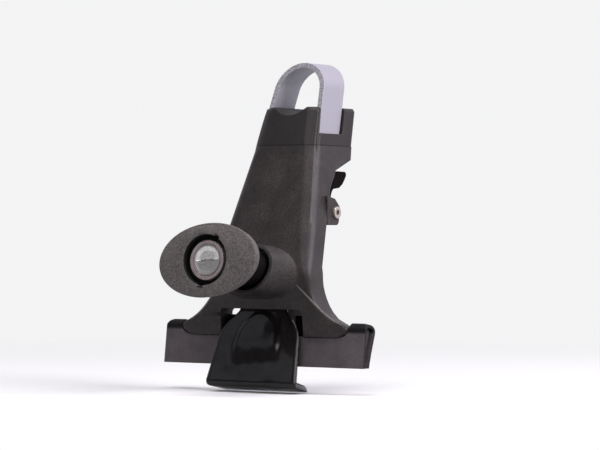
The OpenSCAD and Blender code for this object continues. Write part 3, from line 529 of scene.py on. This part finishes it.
plate = knob_points()
plate_quads = grid_faces(*plate.shape[:2], closed_rows=True, closed_columns=True)
knob = solid_piece("knob_plate", plate, plate_quads[:, ::-1], 40)
stands_for(knob, "knob")
print("knob", plate.shape, "points")

# %% [markdown]
# The lock sits in the bore: a housing with a rounded rim and a fine bead round the plug, and the
# plug that the key turns, its face a little dished, with the key's slot across it. Both are turned
# shapes, so each is a profile of (radius, depth) carried round the axis; the slot is pressed into
# the plug's face where a point lies within it.

# %% Lock
def turned(name, profile, around=96, closed=True):
    """Each (radius, depth) carried round the knob's axis; a closed profile joins its end to its start."""
    radius, depth = np.array(profile).T
    a = np.linspace(0, 2 * np.pi, around, endpoint=False)
    sideways = (radius[:, None] * np.cos(a))[..., None] * along_x
    upwards = (radius[:, None] * np.sin(a))[..., None] * along_up
    points = knob_place - depth[:, None, None] * along_out + sideways + upwards
    quads = grid_faces(*points.shape[:2], closed_rows=closed, closed_columns=True)
    return solid_piece(name, points, quads[:, ::-1], 30)


quarter = np.linspace(0, math.pi / 2, 6)
rounded_rim = [(10.9 + 0.45 * math.sin(t), 0.5 - 0.45 * math.cos(t)) for t in quarter]
bead = [(8.62 + 0.3 * math.cos(t), 0.30 - 0.35 * math.sin(t)) for t in np.linspace(0, math.pi, 9)]
groove = [(8.95, 0.75), (9.2, 0.75), (9.4, 0.1), (9.9, 0.05)]
back = [(11.35, 19.8), (5.35, 19.8), (5.35, 4.4)]
housing = turned("lock_ring", [(8.3, 4.4)] + bead[::-1] + groove + rounded_rim + back)
stands_for(housing, "lock_housing")


def plug_points(around=128, rings=44):
    """A dished disc: depth 0.25 + 0.7 * (1 - (r / 7.4)^2), inside a flat rim.

    The upper half is tilted a little, and the slot is 2 mm deeper, with walls that slope over 0.25 mm.
    """
    r = np.concatenate([np.linspace(0.02, 7.4, rings), [7.5, 7.9, 8.1, 8.15]])[:, None]
    a = np.linspace(0, 2 * np.pi, around, endpoint=False)
    x, z = r * np.cos(a), r * np.sin(a)
    depth = np.where(r <= 7.4, 0.25 + 0.7 * (1 - (r / 7.4) ** 2), 0.12 + 0.0 * r) + 0.0 * a
    depth = depth + np.where(r > 8.0, 0.08, 0.0)
    turn = math.radians(4)
    across, up = x * math.cos(turn) + z * math.sin(turn), z * math.cos(turn) - x * math.sin(turn)
    inside = np.minimum((4.3 - np.abs(across)) / 0.25, (0.62 - np.abs(up)) / 0.25)
    depth = depth + np.where(up > 0, 0.11 * up - 0.09 * across, 0.0) * smooth((7.2 - r) / 1.5)
    depth = depth + 2.0 * np.clip(inside, 0, 1)
    head = knob_place - depth[..., None] * along_out + x[..., None] * along_x + z[..., None] * along_up
    ring = np.stack([np.cos(a), np.sin(a)], -1)
    spoke = ring[:, :1] * along_x + ring[:, 1:] * along_up
    steps = ((8.15, 4.2), (5.0, 4.2), (5.0, 20.2), (0.02, 20.2))
    tail = [knob_place - d * along_out + wide * spoke for wide, d in steps]
    return np.concatenate([head, np.array(tail)])


face = plug_points()
rows, around = face.shape[:2]
caps = [list(range(around)), list(range(rows * around - 1, (rows - 1) * around - 1, -1))]
plug_quads = grid_faces(rows, around, closed_columns=True).tolist()
plug = solid_piece("key_plug", face, plug_quads + caps, 30)
face_outwards(plug)
stands_for(plug, "lock_plug")
print("lock ring and plug")

# %% [markdown]
# The clip is one pressed sheet, 2.5 mm thick: an upright neck, a sloping plate and a lip that hooks
# inwards. It could be a box that is bent and cut, but one grid with a Solidify modifier keeps the
# thickness even round every bend, as pressing does. A rounded panel is pressed outward to stiffen
# it, and two side walls stand back from the neck. The sheet's profile runs from the neck's top to
# the lip's tip, and each row of the grid is as wide as the blank is there.

# %% Clip
clip_slope, lip_slope = math.radians(18.3), math.radians(10.5)
arch_z, foot_z = -127.7, -143.3
plate_top_y = -48.69
lip_z, bend_r, lip_run = -172.9, 3.0, 14.7
sheet = 2.5
bend_z = lip_z + bend_r
bend_y = plate_top_y + (bend_r + (bend_z - arch_z) * math.sin(clip_slope)) / math.cos(clip_slope)


def clip_profile():
    """Front face in (y, z): neck, a soft fold at the arch, the plate, the bend's arc and the lip."""
    heights = (29.9, 27.4, 22.1, 16.7, 11.0, 6.0, 3.2)
    neck = [(plate_top_y + h * math.sin(tilt), arch_z + h * math.cos(tilt)) for h in heights]
    start = np.array(neck[-1])
    end = np.array([plate_top_y - 3.2 * math.sin(clip_slope), arch_z - 3.2 * math.cos(clip_slope)])
    corner = np.array([plate_top_y, arch_z])
    fold = [tuple((1 - t) ** 2 * start + 2 * t * (1 - t) * corner + t * t * end)
            for t in np.linspace(0, 1, 7)[1:]]
    a0, a1 = math.pi - clip_slope, 1.5 * math.pi - lip_slope
    touch = np.array([bend_y + bend_r * math.cos(a0), bend_z + bend_r * math.sin(a0)])
    plate = [tuple(end + (touch - end) * t) for t in np.linspace(0, 1, 37)[1:-1]]
    bend = [(bend_y + bend_r * math.cos(a), bend_z + bend_r * math.sin(a)) for a in np.linspace(a0, a1, 12)]
    tip_y, tip_z = bend[-1]
    lip = [(tip_y + r * math.cos(lip_slope), tip_z - r * math.sin(lip_slope))
           for r in (2.5, 5.5, 8.5, 11.5, 13.5, lip_run)]
    return np.array(neck + fold + plate + bend + lip)


def blank_half(z):
    """Half width of the blank at a height: neck, shoulders, widening plate, the lip's rounded corners."""
    heights = [-176.0, -174.9, -173.4, -168.9, foot_z - 1.0, -139.7, -134.8, -129.1, -121.0]
    halves = [27.6, 29.9, 30.7, 30.9, 27.5, 26.0, 22.6, 16.4, 14.9]
    return np.interp(z, heights, halves)


def panel_height(x, z):
    """The panel's rise: 1.1 mm, falling smoothly to 0 at an arched outline and fading at its foot."""
    half = np.interp(z, [-160, -148, -141, -136, -131.5, -128.5], [17.6, 17.2, 16.2, 13.4, 8.0, 3.0])
    side = smooth((half - np.abs(x)) / 5.0)
    return 1.1 * side * smooth((-128.0 - z) / 3.5) * smooth((z + 160) / 12)


def clip_points():
    """The profile carried across the blank, raised by the panel and rolled back by 0.5 mm at the edges."""
    profile = clip_profile()
    share = np.array(sorted(set(np.linspace(-1, 1, 61).round(4)) | {-4.5 / 14.9, 4.5 / 14.9}))
    half = blank_half(profile[:, 1])
    x = half[:, None] * share
    along = np.gradient(profile, axis=0)
    along /= np.linalg.norm(along, axis=1, keepdims=True)
    outward = np.stack([along[:, 1], -along[:, 0]], -1)
    rise = panel_height(x, profile[:, 1][:, None])
    rolled = -0.5 * smooth((np.abs(x) - half[:, None] + 2.2) / 2.2) ** 2
    yz = profile[:, None, :] + (rise + rolled)[..., None] * outward[:, None, :]
    return np.concatenate([x[..., None], yz], -1)


clip_grid = clip_points()
faces = grid_faces(*clip_grid.shape[:2])
centres = clip_grid.reshape(-1, 3)[faces].mean(axis=1)
in_slot = (np.abs(centres[:, 0]) < 4.5) & (centres[:, 2] < -100.4) & (centres[:, 2] > -111.1)
clip = solid_piece("clip_sheet", clip_grid, faces[~in_slot][:, ::-1], 40)
wall = clip.modifiers.new("sheet", "SOLIDIFY")
wall.thickness, wall.offset = sheet * MM, -1.0
cut = clip.modifiers.new("edge", "BEVEL")
cut.width, cut.segments, cut.limit_method, cut.angle_limit = 0.45 * MM, 2, "ANGLE", math.radians(50)
stands_for(clip, "door_clip")
print("clip", clip_grid.shape, "points,", int(in_slot.sum()), "faces left out for the slot")

# %% [markdown]
# The neck's side walls stand back from the sheet as one channel. Each is a flat plate, so its
# outline is drawn once in (y, z) and given a thickness in x.

# %% Neck walls
# Near black: the neck walls' plastic, and painted shade on the arch webs below.
neck_and_arch_shade_finish = moulded("neck_black_and_arch_shade", (0.006, 0.005, 0.005), gloss=(0.5, 0.6), shine=0.08)
wall_outline = np.array([(0.8, 9.8), (0.2, -8.6), (14.0, -11.2), (20.6, -9.9),
                         (22.0, -8.4), (22.0, 2.6), (20.4, 5.8), (17.0, 8.0)])


def neck_wall(side, inner=12.7, outer=14.9):
    """The outline at x = side * inner and side * outer, with its rim between."""
    y, z = (wall_outline + [plate_top_y, arch_z]).T
    n = len(y)
    points = np.concatenate([np.column_stack([np.full(n, side * x), y, z]) for x in (inner, outer)])
    rim = grid_faces(2, n, closed_columns=True)
    faces = [list(range(n)), list(range(2 * n - 1, n - 1, -1))] + rim.tolist()
    piece = solid_piece(f"neck_wall_{'right' if side > 0 else 'left'}", points, faces)
    face_outwards(piece)
    edge = piece.modifiers.new("edge", "BEVEL")
    edge.width, edge.segments = 0.4 * MM, 2
    piece.data.materials.append(neck_and_arch_shade_finish)
    stands_for(piece, "door_clip")


for side in (-1, 1):
    neck_wall(side)
print("two neck walls, outline of", len(wall_outline), "points")

# %% [markdown]
# Each leg's front edge carries a fine raised rim. It shows as a bright line that runs from the barrel's end
# down and out to the foot, and that bright line is a painted highlight: the rim's plastic is painted pale.
# A thin tube along a curve through points on the leg's own front corner makes it; the tube thins to nothing
# at both ends.

# %% Leg rims
# Pale plastic for the leg rims: a painted highlight along the leg's front edge.
rim_highlight_finish = moulded("rim_painted_highlight", (0.15, 0.135, 0.12), gloss=(0.35, 0.5), grain_mm=0.6, speck=0.6,
                     edge=0.0)
rim_line = np.array([(26.0, -54.9, -113.2), (28.2, -53.9, -115.2), (31.2, -53.2, -118.6),
                     (33.5, -52.7, -121.0), (36.2, -51.6, -123.2), (38.0, -51.0, -125.6),
                     (40.3, -50.6, -128.1), (44.3, -50.1, -131.2),
                     (48.8, -49.7, -133.7), (52.5, -49.5, -135.3), (54.8, -49.4, -136.3)])


def rim_points(side, around=10, steps=80):
    """A tube of radius 0.7 mm * sin(pi t)^0.5 round a quartic fitted through the rim's points.

    t is the share of the rim's length, from 0 to 1.
    """
    reach = np.concatenate([[0], np.cumsum(np.linalg.norm(np.diff(rim_line, axis=0), axis=1))])
    t = np.linspace(0, 1, steps)
    share = reach / reach[-1]
    centre = np.column_stack([np.polyval(np.polyfit(share, column, 4), t) for column in rim_line.T])
    centre[:, 0] *= side
    along = np.gradient(centre, axis=0)
    along /= np.linalg.norm(along, axis=1, keepdims=True)
    out = np.cross(along, [0, 1.0, 0])
    out /= np.linalg.norm(out, axis=1, keepdims=True)
    over = np.cross(out, along)
    a = np.linspace(0, 2 * np.pi, around, endpoint=False)
    radius = 0.7 * np.sin(np.pi * np.clip(t, 0.004, 0.996)) ** 0.5
    spoke = np.cos(a)[:, None] * out[:, None] + np.sin(a)[:, None] * over[:, None]
    return centre[:, None] + radius[:, None, None] * spoke


def closed_tube(name, tube, finish):
    """A piece of the tower from a tube's rings, its two ends capped and its faces turned outwards."""
    steps, around = tube.shape[:2]
    ends = [list(range(around)), list(range(steps * around - 1, (steps - 1) * around - 1, -1))]
    piece = solid_piece(name, tube, grid_faces(steps, around, closed_columns=True).tolist() + ends)
    face_outwards(piece)
    piece.data.materials.append(finish)
    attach(piece, "tower")
    return piece


for side in (-1, 1):
    closed_tube(f"leg_rim_{'right' if side > 0 else 'left'}", rim_points(side), rim_highlight_finish)
print("two leg rims")

# %% [markdown]
# In front of the strap the column's wall is thin: the strap's slot reaches its front corners. On the
# real foot the corner is a rounded bead that hides the strap's front edge. A straight tube with
# rounded ends, laid along each corner, makes it with no cutting of the wall.

# %% Corner ribs
def rib_points(side, around=12, steps=40):
    """A tube of radius 0.95 mm * sin(pi t)^0.2, straight from the saddle's top corner past the seam."""
    t = np.linspace(0, 1, steps)[:, None]
    centre = np.array([18.05, -16.45, -10.2]) * (1 - t) + np.array([21.0, -25.35, -36.4]) * t
    centre[:, 0] *= side
    a = np.linspace(0, 2 * np.pi, around, endpoint=False)
    radius = 0.95 * np.sin(np.pi * np.clip(t, 0.002, 0.998)) ** 0.2
    flat = np.stack([np.cos(a), np.sin(a), 0 * a], -1)
    return centre[:, None] + radius[:, None] * flat


for side in (-1, 1):
    closed_tube(f"corner_rib_{'right' if side > 0 else 'left'}", rib_points(side), finishes["tower_black"])
print("two corner ribs")

# %% [markdown]
# Low in the arch a short web stands between each leg and the clip, behind the pad's edge. It is a flat
# plate, so eight corners and a Bevel modifier are enough, and it rides the tower. Its near-black finish,
# far darker than the tower's plastic, is painted shade: a dark sheet that fills the arch's shaded gap. The
# clip swings away from it when the knob is turned, so the two never meet.

# %% Arch webs
def web_points(side):
    """The eight corners of a plate x 17.6 to 28.9, y -42.1 to -39.6, z -147.2 to -131.6, on one side."""
    x, y, z = np.meshgrid([17.6, 28.9], [-42.1, -39.6], [-147.2, -131.6], indexing="ij")
    return np.column_stack([side * x.ravel(), y.ravel(), z.ravel()])


plate_faces = [(0, 1, 3, 2), (4, 6, 7, 5), (0, 4, 5, 1), (2, 3, 7, 6), (0, 2, 6, 4), (1, 5, 7, 3)]
for side in (-1, 1):
    web = solid_piece(f"arch_web_{'right' if side > 0 else 'left'}", web_points(side), plate_faces)
    face_outwards(web)
    edge = web.modifiers.new("edge", "BEVEL")
    edge.width, edge.segments = 0.5 * MM, 2
    # Near-black finish on the web: painted shade in the arch.
    web.data.materials.append(neck_and_arch_shade_finish)
    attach(web, "tower")
print("two arch webs")

# %% [markdown]
# The studio is one pale floor and an even white room. The floor's white beyond the foot comes from
# Light Path's camera ray, not from stronger lamps, so black plastic keeps its depth and the foot
# keeps its soft shadow. Mirrored rays see a room that is dark in front and bright behind, which puts
# the pale sheen on the side faces and leaves the front ones dark. The floor is a disc of many small
# faces in place of one plane, so that its glow can grow with the distance from the foot.

# %% Floor and background
floor_z = cad_low.z - 0.0005
background = (0.90, 0.90, 0.91)


def floor_disc(radius, rings=24, spokes=96):
    """Points at r = radius * (i / rings)^2 and angle 2 pi j / spokes, closer together near the foot."""
    reach = radius * (np.arange(1, rings + 1) / rings) ** 2
    turn = np.linspace(0, 2 * np.pi, spokes, endpoint=False)
    x = np.outer(reach, np.cos(turn))
    y = np.outer(reach, np.sin(turn))
    points = np.column_stack([x.ravel(), y.ravel(), np.full(x.size, floor_z)])
    i, j = np.meshgrid(np.arange(rings - 1), np.arange(spokes), indexing="ij")
    k = (j + 1) % spokes
    corners = [i * spokes + j, (i + 1) * spokes + j, (i + 1) * spokes + k, i * spokes + k]
    quads = np.stack(corners, -1).reshape(-1, 4)
    middle = [list(range(spokes))]
    mesh = bpy.data.meshes.new("floor")
    mesh.from_pydata(points.tolist(), [], quads.tolist() + middle)
    floor = bpy.data.objects.new("floor", mesh)
    bpy.context.scene.collection.objects.link(floor)
    return floor


floor = floor_disc(6.0)
paper = Tree("paper")
path = paper.add("ShaderNodeLightPath")
paper.put(paper.shader, Roughness=0.9)
sheet_colour = paper.blend(path.outputs["Is Camera Ray"], (0.45, 0.45, 0.46, 1.0), (0.86, 0.86, 0.87, 1.0))
paper.put(paper.shader, Base_Color=sheet_colour)
distance = paper.add("ShaderNodeVectorMath", operation="LENGTH")
paper.links.new(paper.place, distance.inputs[0])
far = paper.ranged(distance.outputs["Value"], 0.0, 1.0, 0.16, 0.75)
glow = paper.add("ShaderNodeEmission")
paper.put(glow, Color=rgba(background), Strength=1.0)
seen = paper.math("MAXIMUM", path.outputs["Is Camera Ray"], path.outputs["Is Glossy Ray"])
mixed = paper.add("ShaderNodeMixShader")
paper.links.new(paper.math("MULTIPLY", far, seen), mixed.inputs[0])
paper.links.new(paper.shader.outputs[0], mixed.inputs[1])
paper.links.new(glow.outputs[0], mixed.inputs[2])
paper.links.new(mixed.outputs[0], paper.nodes["Material Output"].inputs["Surface"])
floor.data.materials.append(paper.material)

print("floor at", round(floor_z, 4), "m")

# %% [markdown]
# The room is the world's shader. Rays that light the foot see an even, weak white. Rays that come
# straight from the camera see the pale background, and mirrored rays see the graded one.

# %% Room
world = bpy.data.worlds.new("room")
world.use_nodes = True
bpy.context.scene.world = world
room = world.node_tree
lit = room.nodes["Background"]
lit.inputs["Color"].default_value, lit.inputs["Strength"].default_value = (0.95, 0.96, 1.0, 1.0), 0.25
shown = room.nodes.new("ShaderNodeBackground")
shown.inputs["Color"].default_value, shown.inputs["Strength"].default_value = rgba(background), 1.0
way = room.nodes.new("ShaderNodeSeparateXYZ")
room.links.new(room.nodes.new("ShaderNodeTexCoord").outputs["Generated"], way.inputs[0])
fade = room.nodes.new("ShaderNodeMapRange")
room.links.new(way.outputs["Y"], fade.inputs["Value"])
for key, number in (("From Min", -0.6), ("From Max", 0.5), ("To Min", 0.10), ("To Max", 1.0)):
    fade.inputs[key].default_value = number
mirrored = room.nodes.new("ShaderNodeBackground")
mirrored.inputs["Color"].default_value = (0.92, 0.88, 1.0, 1.0)
room.links.new(fade.outputs["Result"], mirrored.inputs["Strength"])
ray = room.nodes.new("ShaderNodeLightPath")
last = lit
ray_shades = (("Is Glossy Ray", mirrored), ("Is Transmission Ray", shown), ("Is Camera Ray", shown))
for seen_by, shade in ray_shades:
    either = room.nodes.new("ShaderNodeMixShader")
    room.links.new(ray.outputs[seen_by], either.inputs[0])
    room.links.new(last.outputs[0], either.inputs[1])
    room.links.new(shade.outputs[0], either.inputs[2])
    last = either
room.links.new(last.outputs[0], room.nodes["World Output"].inputs["Surface"])
print("room of", len(room.nodes), "nodes")

# %% [markdown]
# Soft light comes from area lamps, each like the cloth front of a soft box. The strongest is high on
# the right, because the right-hand faces are the lit ones. Two more fill the front and the top. The
# last is weak and low on the left: it lights almost nothing, but the clip's lacquer mirrors it.

# %% Lamps
def lamp(name, place, target, size, power, colour=(1, 1, 1)):
    """A soft box: a square area lamp of that size in metres, aimed at target."""
    light = bpy.data.lights.new(name, "AREA")
    light.shape, light.size, light.energy, light.color = "SQUARE", size, power, colour
    holder = bpy.data.objects.new(name, light)
    bpy.context.scene.collection.objects.link(holder)
    holder.location = place
    holder.rotation_euler = (Vector(target) - Vector(place)).to_track_quat("-Z", "Y").to_euler()


middle = (0, -0.03, -0.08)
lamp("right_box", (1.5, 0.15, 0.95), middle, 0.9, 34, (0.98, 0.93, 1.0))
lamp("front_box", (0.3, -1.9, 1.0), middle, 1.2, 12, (1.0, 0.96, 0.95))
lamp("top_box", (0.0, -0.4, 1.7), middle, 1.0, 18, (1.0, 0.98, 0.98))
lamp("low_left_box", (-0.85, -1.05, 0.62), middle, 0.4, 0.2, (0.9, 0.93, 1.0))
print("four soft boxes")

# %% [markdown]
# The Standard view transform shows each colour as it is written.

# %% View settings
bpy.context.scene.view_settings.view_transform = "Standard"
print("view transform: Standard")

# %% End
print("scene built")
